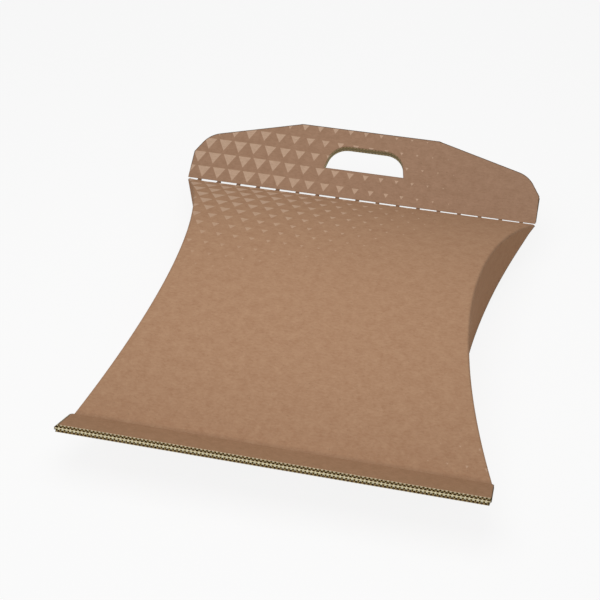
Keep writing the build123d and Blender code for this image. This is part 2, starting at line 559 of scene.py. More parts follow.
@dataclass(frozen=True)
class FlutingMedium(CutBoard):
    """Semichemical fluting: dark olive paper, pale where starch glues its crests to the liners."""

    slope: str = "#937a47"
    inner_crest: Point2 = (0.35, 0.75)
    outer_crest: Point2 = (-0.6, -1.0)
    outer_share: float = 0.8

    def shaded(self, tree: Tree, straw: Socket) -> Socket:
        """Adds the nodes that leave only the glued crests pale.

        Args:
            tree: Tree of the material.
            straw: Colour of the glued crests.

        Returns:
            Socket with the colour along the wave.
        """
        glue = add(tree, "ShaderNodeAttribute", attribute_name=GLUE).outputs["Fac"]
        inside = add(tree, "ShaderNodeMapRange",
                     {"Value": glue, "From Min": self.inner_crest[0],
                      "From Max": self.inner_crest[1]}).outputs[0]
        outside = add(tree, "ShaderNodeMapRange",
                      {"Value": glue, "From Min": self.outer_crest[0], "From Max": self.outer_crest[1],
                       "To Max": self.outer_share}).outputs[0]
        pale = add(tree, "ShaderNodeMath", {0: inside, 1: outside}, operation="ADD").outputs[0]
        return add(tree, "ShaderNodeMix", {0: pale, MIX_A: linear(self.slope), MIX_B: straw},
                   data_type="RGBA").outputs[MIX_RESULT]


@dataclass(frozen=True)
class GluedEdge(CutBoard):
    """Cut edge of a liner: pale where a crest of the fluting is glued to it, and darker in between as
    painted shade of the open flutes.
    """

    # Colour between the crests: painted shade of the open flutes beside the edge
    between_crests_shade: str = "#6b5b33"
    crest_at: float = 0.0
    crest_range: Point2 = (-0.8, 0.2)
    flute_pitch: float = 3.0 * MM

    def shaded(self, tree: Tree, straw: Socket) -> Socket:
        """Adds the nodes that darken the edge between two crests.

        Args:
            tree: Tree of the material.
            straw: Colour at the crests.

        Returns:
            Socket with the colour along the edge.
        """
        place = add(tree, "ShaderNodeTexCoord").outputs["Object"]
        along = add(tree, "ShaderNodeSeparateXYZ", {0: place}).outputs["X"]
        turns = add(tree, "ShaderNodeMath", {0: along, 1: 1 / self.flute_pitch, 2: self.crest_at},
                    operation="MULTIPLY_ADD").outputs[0]
        angle = add(tree, "ShaderNodeMath", {0: turns, 1: math.tau}, operation="MULTIPLY").outputs[0]
        wave = add(tree, "ShaderNodeMath", {0: angle}, operation="COSINE").outputs[0]
        glued = add(tree, "ShaderNodeMapRange",
                    {"Value": wave, "From Min": self.crest_range[0],
                     "From Max": self.crest_range[1]}).outputs[0]
        return add(tree, "ShaderNodeMix", {0: glued, MIX_A: linear(self.between_crests_shade), MIX_B: straw},
                   data_type="RGBA").outputs[MIX_RESULT]


@dataclass(frozen=True)
class Finishes:
    """The materials of the box, made once and shared by its pieces."""

    printed: Material
    plain: Material
    pressed: Material
    pressed_print: Material
    edges: dict[Edge, Material]
    fluting: dict[Ply, Material]
    dusty_fluting: Material
    dusty: Material
    crushed: Material

    @classmethod
    def make(cls) -> "Finishes":
        """Builds every material of the box.

        Returns:
            The materials, ready to be shared.
        """
        fade = HalftoneFade()
        # Cut edges are cream above, palest where two boards meet, and greyer below and round the hand hole;
        # between the fluting's crests each is darker, as painted shade of the open flutes.
        edges = {
            Edge.UPPER: GluedEdge("upper_cut_edge", pale="#fff0d2", straw="#f8e0ba", between_crests_shade="#bd9f73"),
            Edge.MIDDLE: GluedEdge("middle_cut_edge", pale="#fff9da", straw="#fdf1c6", between_crests_shade="#ddcc94",
                                   crest_at=0.5),
            Edge.LOWER: GluedEdge("lower_cut_edge", pale="#d3c79c", straw="#bbae82", between_crests_shade="#544626"),
            Edge.CRUSHED: GluedEdge("crushed_cut_edge", pale="#e2d4aa", straw="#d2c398", between_crests_shade="#b8a97e"),
        }
        return cls(
            # The body's liner is a warm middle brown, with print on the top panel only.
            printed=KraftLiner("printed_kraft_liner", print_fade=fade).material(),
            plain=KraftLiner("plain_kraft_liner", dark="#af8363", light="#b88f6d").material(),
            # The wings' liner is a shade darker, as painted shade of the hollows beside the two folds.
            pressed=KraftLiner("pressed_kraft_liner", dark="#937155", light="#a07c60").material(),
            pressed_print=KraftLiner("pressed_printed_liner", dark="#9e7c63", light="#ad8a71",
                                     print_fade=fade).material(),
            edges={tone: edge.material() for tone, edge in edges.items()},
            # The fluting is dark olive between its crests, and the lower board's outer crests are kept
            # darker, as painted shade along the underside.
            fluting={Ply.UPPER: FlutingMedium("upper_semichemical_fluting").material(),
                     Ply.LOWER: FlutingMedium("lower_semichemical_fluting", outer_share=0.3).material()},
            # Inside the handle the fluting is evener, its slopes lightened as painted light in the shaded
            # hand hole and slots, and the board round the hole is grey-olive.
            dusty_fluting=FlutingMedium("handle_fluting_painted_light", pale="#d3c399", straw="#c2b286",
                                        slope="#b3a277").material(),
            dusty=CutBoard("grey_olive_hole_rim_board", pale="#81765a", straw="#73684d").material(),
            # The ties were crushed thin by the perforating rule, which leaves them dense; their dark colour
            # is partly that crushing and partly painted shade of the fold's valley.
            crushed=KraftLiner("crushed_fold_painted_shade", dark="#806450", light="#93745c").material(),
        )

    def body(self) -> list[Material]:
        """Finishes of a body panel, in the order of Side."""
        return [self.printed, self.plain, self.plain, self.edges[Edge.UPPER]]

    def wing(self, edge: Edge) -> list[Material]:
        """Finishes of a wing's liner; crushed board round the hand hole is grey-olive on every face.

        Args:
            edge: What the liner's cut edge belongs to.

        Returns:
            Materials in the order of Side.
        """
        if edge is Edge.CRUSHED:
            return [self.dusty, self.dusty, self.dusty, self.edges[edge]]
        # Wing liners get the darker finishes, painted shade of the hollows beside the folds
        return [self.pressed_print, self.pressed, self.plain, self.edges[edge]]


@dataclass
class SheetDraft:
    """Open sheet in the making: its points in space and on the flat, their darkening by painted shade and
    wear, and its faces.
    """

    points: list[Vector] = field(default_factory=list)
    flat: list[Point2] = field(default_factory=list)
    darkening: list[float] = field(default_factory=list)
    faces: list[tuple[int, ...]] = field(default_factory=list)
    sides: list[Side] = field(default_factory=list)

    def point(self, place: Vector, flat: Point2, darkening: float = 0.0) -> int:
        """Adds one point.

        Args:
            place: Where it is on the folded box.
            flat: Where it is on the flat sheet.
            darkening: How much painted shade and wear darken the board there, from zero up; one is fully
                dark.

        Returns:
            The point's number.
        """
        self.points.append(place)
        self.flat.append(flat)
        self.darkening.append(darkening)
        return len(self.points) - 1

    def face(self, corners: Sequence[int], side: Side = Side.PLAIN) -> None:
        """Adds one face, unless its corners fall together.

        Args:
            corners: Numbers of its points, in order seen from outside.
            side: Which side of the board it shows.
        """
        kept = tuple(dict.fromkeys(corners))
        if len(kept) > 2:
            self.faces.append(kept)
            self.sides.append(side)

    def wall(self, behind: Sequence[Vector]) -> None:
        """Closes the open sheet into a wall with an inner face and cut edges.

        Args:
            behind: Place on the inner face for each point of the sheet.
        """
        faces = list(self.faces)
        found: dict[tuple[int, ...], int] = {}
        inner = []
        for number, place in enumerate(behind):
            spot = tuple(round(part / WELD) for part in place)
            if spot not in found:
                found[spot] = self.point(place, self.flat[number], self.darkening[number])
            inner.append(found[spot])
        edges = [pair for face in faces for pair in zip(face, face[1:] + face[:1])]
        shared = set(edges)
        for face in faces:
            self.face([inner[corner] for corner in reversed(face)], Side.INNER)
        for start, end in edges:
            if (end, start) not in shared:
                self.face((end, start, inner[start], inner[end]), Side.EDGE)

    def to_object(self, name: str, finishes: Iterable[Material]) -> Piece:
        """Makes the draft a mesh object.

        Args:
            name: Name of the piece.
            finishes: Materials in the order of Side.

        Returns:
            The new object, linked to the scene.
        """
        mesh = bpy.data.meshes.new(name)
        mesh.from_pydata(self.points, [], self.faces)
        for finish in finishes:
            mesh.materials.append(finish)
        mesh.polygons.foreach_set("material_index", [side.value for side in self.sides])
        layer = mesh.uv_layers.new(name=FLAT_MAP)
        for loop in mesh.loops:
            layer.data[loop.index].uv = self.flat[loop.vertex_index]
        # Painted shade and wear, per point, for the materials
        darkening = mesh.attributes.new(SHADE_AND_WEAR, "FLOAT", "POINT")
        darkening.data.foreach_set("value", self.darkening)
        made = bpy.data.objects.new(name, mesh)
        bpy.context.scene.collection.objects.link(made)
        return made


def settle(piece: Piece) -> Piece:
    """Turns a piece and its modifiers into one plain mesh with smooth bends and sharp edges.

    Args:
        piece: Object whose modifiers are still live.

    Returns:
        The same object, without modifiers.
    """
    evaluated = piece.evaluated_get(bpy.context.evaluated_depsgraph_get())
    mesh = bpy.data.meshes.new_from_object(evaluated)
    piece.modifiers.clear()
    piece.data = mesh
    mesh.name = piece.name
    mesh.shade_smooth()
    mesh.set_sharp_from_angle(angle=SHARP_ANGLE)
    return piece


def rounded(corners: Sequence[Corner], steps: int = 8) -> list[Point2]:
    """Closed outline through corners, with an arc at each corner that has a radius.

    Args:
        corners: Each corner and its radius, zero for a sharp one.
        steps: Pieces that each arc is drawn with.

    Returns:
        Points of the outline in order.
    """
    outline: list[Point2] = []
    for number, (corner, radius) in enumerate(corners):
        middle = Vector(corner)
        if radius == 0.0:
            outline.append(corner)
            continue
        before = (Vector(corners[number - 1][0]) - middle).normalized()
        after = (Vector(corners[(number + 1) % len(corners)][0]) - middle).normalized()
        half = before.angle(after) / 2
        centre = middle + (before + after).normalized() * (radius / math.sin(half))
        start = (middle + before * (radius / math.tan(half)) - centre).normalized()
        end = (middle + after * (radius / math.tan(half)) - centre).normalized()
        for step in range(steps + 1):
            outline.append(tuple(centre + radius * start.slerp(end, step / steps)))
    return outline


def spans(outlines: Outlines, x: float) -> list[Point2]:
    """Stretches of a line across outlines that lie inside them, holes left out.

    Args:
        outlines: Outer outline and holes, each closed.
        x: Where the line stands.

    Returns:
        Start and end of each stretch.
    """
    crossings = []
    for outline in outlines:
        for (x0, y0), (x1, y1) in zip(outline, [*outline[1:], outline[0]]):
            if (x0 <= x) != (x1 <= x):
                crossings.append(y0 + (y1 - y0) * (x - x0) / (x1 - x0))
    crossings.sort()
    return list(zip(crossings[::2], crossings[1::2]))


def start_tree(name: str, inputs: dict[str, str]) -> Tree:
    """Starts a Geometry Nodes tree with a finish and other named inputs.

    Args:
        name: Name of the tree.
        inputs: Kind of each further input, by name.

    Returns:
        The tree, still without nodes.
    """
    tree = bpy.data.node_groups.new(name, "GeometryNodeTree")
    for label, kind in {"Geometry": "Geometry", **inputs, "Finish": "Material"}.items():
        tree.interface.new_socket(label, in_out="INPUT", socket_type=f"NodeSocket{kind}")
    tree.interface.new_socket("Geometry", in_out="OUTPUT", socket_type="NodeSocketGeometry")
    return tree


def end_tree(tree: Tree, geometry: Socket, finish: Socket) -> Tree:
    """Ends a Geometry Nodes tree in real geometry that wears its finish.

    Args:
        tree: Tree to end.
        geometry: What the tree has made.
        finish: Material that it gets.

    Returns:
        The same tree.
    """
    real = add(tree, "GeometryNodeRealizeInstances", {"Geometry": geometry}).outputs[0]
    dressed = add(tree, "GeometryNodeSetMaterial", {"Geometry": real, "Material": finish}).outputs[0]
    add(tree, "NodeGroupOutput", {"Geometry": dressed})
    return tree


def fluting_tree() -> Tree:
    """Geometry Nodes that wave a flat sheet of fluting medium and give it its thickness.

    Returns:
        Tree with named inputs for the wave's sizes and the finish.
    """
    tree = start_tree("fluting", {"Pitch": "Float", "Phase": "Float", "Rise": "Vector", "Thickness": "Float",
                                  "Glued side": "Float"})
    given = add(tree, "NodeGroupInput").outputs
    place = add(tree, "GeometryNodeInputPosition").outputs[0]
    along = add(tree, "ShaderNodeSeparateXYZ", {0: place}).outputs["X"]
    turns = add(tree, "ShaderNodeMath", {0: along, 1: given["Pitch"]}, operation="DIVIDE").outputs[0]
    turns = add(tree, "ShaderNodeMath", {0: turns, 1: given["Phase"]}, operation="ADD").outputs[0]
    angle = add(tree, "ShaderNodeMath", {0: turns, 1: math.tau}, operation="MULTIPLY").outputs[0]
    wave = add(tree, "ShaderNodeMath", {0: angle}, operation="SINE").outputs[0]
    lift = add(tree, "ShaderNodeVectorMath", {0: given["Rise"], "Scale": wave}, operation="SCALE").outputs[0]
    glue = add(tree, "ShaderNodeMath", {0: wave, 1: given["Glued side"]}, operation="MULTIPLY").outputs[0]
    marked = add(tree, "GeometryNodeStoreNamedAttribute",
                 {"Geometry": given["Geometry"], "Name": GLUE, "Value": glue}).outputs[0]
    waved = add(tree, "GeometryNodeSetPosition", {"Geometry": marked, "Offset": lift}).outputs[0]
    front = add(tree, "GeometryNodeExtrudeMesh",
                {"Mesh": waved, "Offset Scale": given["Thickness"], "Individual": False}).outputs["Mesh"]
    back = add(tree, "GeometryNodeFlipFaces", {"Mesh": waved}).outputs[0]
    both = add(tree, "GeometryNodeJoinGeometry", {"Geometry": front})
    tree.links.new(back, both.inputs["Geometry"])
    closed = add(tree, "GeometryNodeMergeByDistance",
                 {"Geometry": both.outputs[0], "Distance": WELD}).outputs[0]
    return end_tree(tree, closed, given["Finish"])


def tie_tree() -> Tree:
    """Geometry Nodes that set one tie after another along the perforated fold.

    Returns:
        Tree with named inputs for the count, the places and the finish.
    """
    tree = start_tree("perforation_ties", {"Count": "Int", "First": "Vector", "Step": "Vector"})
    given = add(tree, "NodeGroupInput").outputs
    line = add(tree, "GeometryNodeMeshLine",
               {"Count": given["Count"], "Start Location": given["First"],
                "Offset": given["Step"]}).outputs[0]
    ties = add(tree, "GeometryNodeInstanceOnPoints",
               {"Points": line, "Instance": given["Geometry"]}).outputs[0]
    return end_tree(tree, ties, given["Finish"])


def run_tree(piece: Piece, tree: Tree, inputs: dict[str, SocketValue]) -> Piece:
    """Runs a Geometry Nodes tree on a piece and keeps the result as a plain mesh.

    Args:
        piece: Object that the tree starts from.
        tree: Tree with named inputs.
        inputs: Value of each input, by name.

    Returns:
        The same object with the tree's mesh.
    """
    modifier = piece.modifiers.new(tree.name, "NODES")
    modifier.node_group = tree
    for item in tree.interface.items_tree:
        if item.in_out == "INPUT" and item.name in inputs:
            modifier[item.identifier] = inputs[item.name]
    return settle(piece)


def hand_over(piece: Piece) -> Piece:
    """Ties a finished piece to the frame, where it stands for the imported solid.

    Args:
        piece: Finished piece with its place in its mesh.

    Returns:
        The same object.
    """
    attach(piece, BODY)
    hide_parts(CAD_NODE)
    return piece


@dataclass
class FoldedPanel(ABC):
    """Bowed panel of the body with a curved flap at each end, bent from one sheet."""

    form: BoxForm
    finishes: Finishes
    name: str = "panel"
    panel_side: Side = Side.PLAIN
    flap_turn: int = -1
    crease_radius: float = 2.2 * MM
    # Painted shade along the rounded crease, and a strip of painted shade along the flap's free edge: its
    # width, its largest share of the flap and its strength
    crease_shade: float = 0.1
    shaded_edge_width: float = 1.4 * MM
    shaded_edge_most: float = 0.5
    free_edge_shade: float = 1.3
    row_count: int = 96
    panel_steps: int = 20
    crease_steps: int = 5
    flap_steps: int = 4

    @abstractmethod
    def rows(self, inset: float) -> list[Point4]:
        """Y, height, developed length and painted shade of each row, an inset behind the outer face."""

    @abstractmethod
    def half_width(self, y: float, inset: float) -> float:
        """Half the panel's width over its two creases, an inset behind the outer face."""

    @abstractmethod
    def flap_edge(self, y: float) -> float:
        """Height of the flap's free edge."""

    def half_section(self, y: float, height: float, inset: float) -> list[Point4]:
        """Section from the middle of the panel to the flap's free edge.

        Args:
            y: Place of the section along the box.
            height: Height of the panel's face there.
            inset: Distance behind the outer face; the crease is sharp on the inside.

        Returns:
            X, height, developed width and painted shade of each point.
        """
        radius = 0.0 if inset else self.crease_radius
        straight = self.half_width(y, inset) - radius
        section = []
        for step in range(self.panel_steps):
            x = straight * step / self.panel_steps
            section.append((x, height, x, 0.0))
        for step in range(self.crease_steps + 1):
            share = step / self.crease_steps
            angle = share * RIGHT_ANGLE
            x = straight + radius * math.sin(angle)
            rise = self.flap_turn * radius * (1 - math.cos(angle))
            # Painted shade along the crease, darkest at its middle
            darkening = self.crease_shade * math.sin(share * math.pi)
            section.append((x, height + rise, straight + radius * angle, darkening))
        start = height + self.flap_turn * radius
        drop = self.flap_edge(y) - start
        developed = straight + radius * RIGHT_ANGLE
        # The flap's last strip before its free edge carries painted shade
        plain = 1 - min(self.shaded_edge_width / abs(drop), self.shaded_edge_most)
        for step in range(1, self.flap_steps + 1):
            share = plain * step / self.flap_steps
            section.append((straight + radius, start + drop * share, developed + abs(drop) * share, 0.0))
        section.append((straight + radius, start + drop, developed + abs(drop), self.free_edge_shade))
        return section

    def grid(self, inset: float) -> list[list[GridPoint]]:
        """Points of the whole sheet, row by row.

        Args:
            inset: Distance behind the outer face.

        Returns:
            Place, flat place and painted shade of each point.
        """
        rows = []
        for y, height, developed, row_shade in self.rows(inset):
            half = self.half_section(y, height, inset)
            section = [(-x, z, -flat, darkening) for x, z, flat, darkening in reversed(half[1:])] + half
            row = [(Vector((x, y, z)), (flat, developed), max(darkening, row_shade)) for x, z, flat, darkening in section]
            rows.append(row if self.flap_turn < 0 else row[::-1])
        return rows

    def build(self) -> Piece:
        """Builds the panel and its flaps as one closed wall.

        Returns:
            The finished piece.
        """
        draft = SheetDraft()
        numbers = [[draft.point(*point) for point in row] for row in self.grid(0.0)]
        columns = range(len(numbers[0]) - 1)
        first, last = self.flap_steps + 1, len(columns) - self.flap_steps - 1
        for row, following in zip(numbers, numbers[1:]):
            for column in columns:
                side = self.panel_side if first <= column < last else Side.PLAIN
                draft.face((row[column], row[column + 1], following[column + 1], following[column]), side)
        draft.wall([place for row in self.grid(self.form.board) for place, _, _ in row])
        return hand_over(settle(draft.to_object(self.name, self.finishes.body())))


@dataclass
class TopPanel(FoldedPanel):
    """Printed top panel; its outer flaps hang down over the ends of the box."""

    name: str = "top_panel"
    panel_side: Side = Side.PRINTED
    # Painted shade along the front fold
    front_fold_shade: float = 0.2
    # The strip before the slots, and how far its edge is drawn to the fold at the left and the right
    slot_strip: float = 2.5 * MM
    slot_skew: Point2 = (-0.33, 1.15)
    # The back corners run on to the fold, and the right one is drawn out
    corner_gap: float = 0.4 * MM
    corner_length: float = 9.5 * MM
    corner_reach: float = 1.1 * MM
    # The flaps' free edges rise towards the corners
    flap_rise: float = 2.8 * MM
    flap_rise_from: float = 30.0 * MM
    flap_rise_over: float = 80.0 * MM
    tip_rise: float = 2.6 * MM
    tip_length: float = 15.0 * MM

    def rows(self, inset: float) -> list[Point4]:
        """Rows from the front fold to the slots of the perforation, and the row of the corners' tips.

        Args:
            inset: Distance behind the outer face.

        Returns:
            Y, height, developed length and painted shade of each row.
        """
        form = self.form
        radius = form.top_radius
        first = -form.fold_angle
        last = form.fold_angle - form.top_slot_edge / radius
        tip = form.fold_angle - self.corner_gap / radius
        inner = radius - inset
        centre = form.fold_height + form.top_rise - radius
        run = last - self.slot_strip / radius - first
        angles = [first + run * row / self.row_count for row in range(self.row_count + 1)]
        found = []
        for angle in angles + [last, tip]:
            place = inner * math.sin(angle), centre + inner * math.cos(angle)
            darkening = self.front_fold_shade if angle == first else 0.0
            found.append((*place, radius * (angle - form.fold_angle), darkening))
        return found

    def grid(self, inset: float) -> list[list[GridPoint]]:
        """Points of the whole sheet, with the last row drawn out to the fold at the two corners.

        Args:
            inset: Distance behind the outer face.

        Returns:
            Place, flat place and painted shade of each point.
        """
        found = super().grid(inset)
        for row in found:
            past = max(row[0][0].y - self.form.half_length + self.corner_length, 0.0) / self.corner_length
            for place, _, _ in row:
                place.x += self.corner_reach * past ** 2 * max(place.x, 0.0) / self.form.half_width
        *rows, edge, tips = found
        side = max(place.x for place, _, _ in edge)
        left_skew, right_skew = self.slot_skew
        drawn = []
        for (place, flat, darkening), (tip, _, _) in zip(edge, tips):
            past = (abs(place.x) - side + self.corner_length) / self.corner_length
            skew = left_skew + (right_skew - left_skew) * (place.x + side) / (2 * side)
            drawn.append((place.lerp(tip, max(past, skew)), flat, darkening))
        return [*rows, drawn]

    def half_width(self, y: float, inset: float) -> float:
        """Half the body's whole width."""
        return self.form.end_line(y, inset)

    def flap_edge(self, y: float) -> float:
        """The flap ends flush with the lower panel's outer face, and a little higher to its corners.

        Args:
            y: Place along the box.

        Returns:
            Height of the free edge.
        """
        share = min(max(abs(y) - self.flap_rise_from, 0.0) / self.flap_rise_over, 1.0)
        smooth = share ** 2 * (3 - 2 * share)
        past = max(abs(y) - self.form.half_length + self.tip_length, 0.0) / self.tip_length
        return self.form.lower_line(y) + self.flap_rise * smooth + self.tip_rise * past ** 2


@dataclass
class LowerPanel(FoldedPanel):
    """Lower panel that the box rests on; its inner flaps stand up behind the outer ones."""

    name: str = "lower_panel"
    flap_turn: int = 1
    flap_clearance: float = 2.0 * MM
    flat_sheet_offset: float = 600.0 * MM

    def rows(self, inset: float) -> list[Point4]:
        """Rows from under the front flange, over the rest strip, to under the perforation.

        Args:
            inset: Distance behind the outer face.

        Returns:
            Y, height, developed length and painted shade of each row.
        """
        radius = self.form.lower_radius
        inner = radius - inset
        half_strip = self.form.rest_strip / 2
        steps = self.row_count // 2
        side = []
        for step in range(steps + 1):
            angle = self.form.tilt * step / steps
            place = half_strip + inner * math.sin(angle), radius - inner * math.cos(angle)
            side.append((*place, half_strip + radius * angle))
        rows = [(-y, z, -run) for y, z, run in reversed(side)] + side
        return [(y, z, run - self.flat_sheet_offset, 0.0) for y, z, run in rows]

    def half_width(self, y: float, inset: float) -> float:
        """The inner flap stands one board and the seam behind the outer flap's face."""
        inside = min(abs(y), self.form.half_length)
        return self.form.end_line(inside, self.form.board + self.form.flap_seam + inset)

    def flap_edge(self, y: float) -> float:
        """The flap ends just under the top panel, and runs out at the corners.

        Args:
            y: Place along the box.

        Returns:
            Height of the free edge.
        """
        inside = min(abs(y), self.form.half_length)
        under_top = self.form.top_line(inside) - self.form.board / math.cos(self.form.fold_angle)
        lowest = self.form.lower_line(inside) + self.form.board + self.form.liner
        return max(under_top - self.flap_clearance, lowest)


@dataclass
class FlutedWing:
    """Flat wing of two boards, each with two liners and real fluting between them."""

    form: BoxForm
    finishes: Finishes
    tree: Tree
    wing: Wing = Wing.FLANGE
    medium_thickness: float = 0.6 * MM
    columns_per_flute: int = 8
    rim: float = 0.9 * MM
    # Painted shade, with some wear of the cut, along the wings' cut sides and the fluting's ends
    rim_shade_and_wear: float = 1.5
    end_rim: float = 0.8 * MM

    @property
    def place(self) -> WingFrame:
        """Frame of this wing."""
        return self.form.wing(self.wing)

    def medium(self, ply: Ply) -> Material:
        """Finish of one board's fluting."""
        return self.finishes.fluting[ply]

    def side_shade_and_wear(self, x: float) -> float:
        """Painted shade and wear along a cut side at a place across the wing."""
        return self.rim_shade_and_wear

    @staticmethod
    def at_end(x: float, outline: Sequence[Point2], margin: float) -> bool:
        """Whether a place across the wing is within a margin of one of an outline's two ends."""
        places = [place for place, _ in outline]
        return x < min(places) + margin or x > max(places) - margin

    def facing_up(self, corners: Sequence[int]) -> Sequence[int]:
        """Corners in the order that turns a face up, since the two wings' frames are mirrored."""
        return corners if self.wing is Wing.HANDLE else corners[::-1]

    def filled(self, outlines: Outlines, cuts: Sequence[float] = ()) -> bmesh.types.BMesh:
        """Fills outlines with faces on the flat, with a narrow rim along every cut.

        Args:
            outlines: Outer outline and holes.
            cuts: Reaches at which the faces are divided, so that they can bend there.

        Returns:
            Flat faces, facing up.
        """
        flat = bmesh.new()
        for outline in outlines:
            corners = [flat.verts.new((*point, 0.0)) for point in outline]
            for number, corner in enumerate(corners):
                flat.edges.new((corners[number - 1], corner))
        bmesh.ops.triangle_fill(flat, edges=flat.edges[:], use_beauty=True, normal=(0, 0, 1))
        bmesh.ops.inset_region(flat, faces=flat.faces[:], thickness=self.rim, use_boundary=True,
                               use_even_offset=True)
        for cut in cuts:
            whole = flat.verts[:] + flat.edges[:] + flat.faces[:]
            bmesh.ops.bisect_plane(flat, geom=whole, plane_co=(0, cut, 0), plane_no=(0, 1, 0))
        flat.verts.index_update()
        return flat

    def fluting(self, name: str, ply: Ply, outlines: Outlines) -> Piece:
        """Builds the waved medium of one board.

        Args:
            name: Name of the piece.
            ply: Which of the two boards.
            outlines: Outer outline and holes that the medium is trimmed to.

        Returns:
            The finished piece.
        """
        form, place = self.form, self.place
        half = self.medium_thickness / 2
        depth = form.ply_middle(ply) + half
        amplitude = form.board / 2 - form.liner - half
        step = form.flute_pitch / self.columns_per_flute
        first = math.ceil(min(x for x, _ in outlines[0]) / step)
        last = math.floor(max(x for x, _ in outlines[0]) / step)
        draft = SheetDraft()
        previous: list[tuple[int, ...]] = []
        for column in range(first, last + 1):
            x = column * step
            # The fluting's ends carry painted shade
            darkening = self.rim_shade_and_wear if self.at_end(x, outlines[0], form.flute_pitch / 2) else 0.0
            current = []
            for stretch in spans(outlines, x):
                ends = [draft.point(place.place(x, reach, -depth), (x, reach), darkening) for reach in stretch]
                current.append(tuple(ends))
            if len(current) == len(previous):
                for (near, far), (next_near, next_far) in zip(previous, current):
                    draft.face(self.facing_up((near, next_near, next_far, far)))
            previous = current
        finish = self.medium(ply)
        piece = draft.to_object(name, [finish] * len(Side))
        inputs = {"Pitch": form.flute_pitch, "Phase": ply.phase, "Rise": place.up * amplitude,
                  "Thickness": self.medium_thickness, "Glued side": ply.glued_side, "Finish": finish}
        return hand_over(run_tree(piece, self.tree, inputs))

    def liner(self, name: str, outlines: Outlines, depth: float, thickness: float,
              edge: Edge) -> Piece:
        """Builds one flat liner of the wing.

        Args:
            name: Name of the piece.
            outlines: Outer outline and holes.
            depth: Depth of the liner's upper face under the wing's.
            thickness: Thickness of the liner.
            edge: How its cut edge looks.

        Returns:
            The finished piece.
        """
        draft = SheetDraft()
        flat = self.filled(outlines)
        behind = []
        farthest = max(reach for _, reach in outlines[0])
        for corner in flat.verts:
            x, reach, _ = corner.co
            # Cut sides carry painted shade and wear
            beside = 0.0 < reach < farthest - self.rim or self.at_end(x, outlines[0], self.end_rim)
            at_side = corner.is_boundary and beside and edge is not Edge.CRUSHED
            darkening = self.side_shade_and_wear(x) if at_side else 0.0
            draft.point(self.place.place(x, reach, -depth), (x, -reach), darkening)
            behind.append(self.place.place(x, reach, -depth - thickness))
        for face in flat.faces:
            draft.face(self.facing_up([corner.index for corner in face.verts]))
        flat.free()
        draft.wall(behind)
        return hand_over(settle(draft.to_object(name, self.finishes.wing(edge))))


@dataclass
class FrontFlange(FlutedWing):
    """Glued flange at the front, whose cut edge shows the open flutes of both boards."""

    depth: float = 28.5 * MM
    overhang: float = 1.7 * MM
    front_radius: float = 1.2 * MM
    rear_radius: float = 2.2 * MM
    tongue: float = 2.0 * MM
    tongue_inset: float = 5.0 * MM
    # The sides bulge, most at the bulge's depth, and the boards are glued slightly askew
    side_bulge: float = 1.2 * MM
    bulge_depth: float = 3.0 * MM
    bulge_radius: float = 3.6 * MM
    askew: float = 1.45 * MM
    offset: float = 0.25 * MM

    def outline(self, depth: float) -> list[Point2]:
        """Outline of a layer, with a hidden tongue under the top panel.

        Args:
            depth: Depth of the layer under the flange's upper face.

        Returns:
            Points of the outline in order.
        """
        past = min(abs(depth - self.bulge_depth), self.bulge_radius)
        inset = self.bulge_radius - math.sqrt(self.bulge_radius ** 2 - past ** 2)
        half = self.form.half_width + self.overhang + self.side_bulge - inset
        inner = self.form.half_width - self.tongue_inset
        right = [((inner, -self.tongue), 0.0), ((inner, 0.0), 0.0), ((half, 0.0), self.rear_radius),
                 ((half, self.depth), self.front_radius)]
        left = [((-x, reach), radius) for (x, reach), radius in reversed(right)]
        shift = self.offset + self.askew * min(depth / self.bulge_depth, 1.0)
        return [(x - shift, reach) for x, reach in rounded(right + left)]

    def build(self) -> list[Piece]:
        """Builds the liners and the fluting of both boards.

        Returns:
            The finished pieces.
        """
        board, liner = self.form.board, self.form.liner
        lowest = self.form.wing_thickness - liner
        made = [
            self.liner("flange_upper_liner", [self.outline(0.0)], 0.0, liner, Edge.UPPER),
            self.liner("flange_glued_liners", [self.outline(board)], board - liner, 2 * liner, Edge.MIDDLE),
            self.liner("flange_lower_liner", [self.outline(lowest)], lowest, liner, Edge.LOWER),
        ]
        for ply in Ply:
            outline = self.outline(self.form.ply_middle(ply))
            made.append(self.fluting(f"flange_{ply.name.lower()}_fluting", ply, [outline]))
        return made


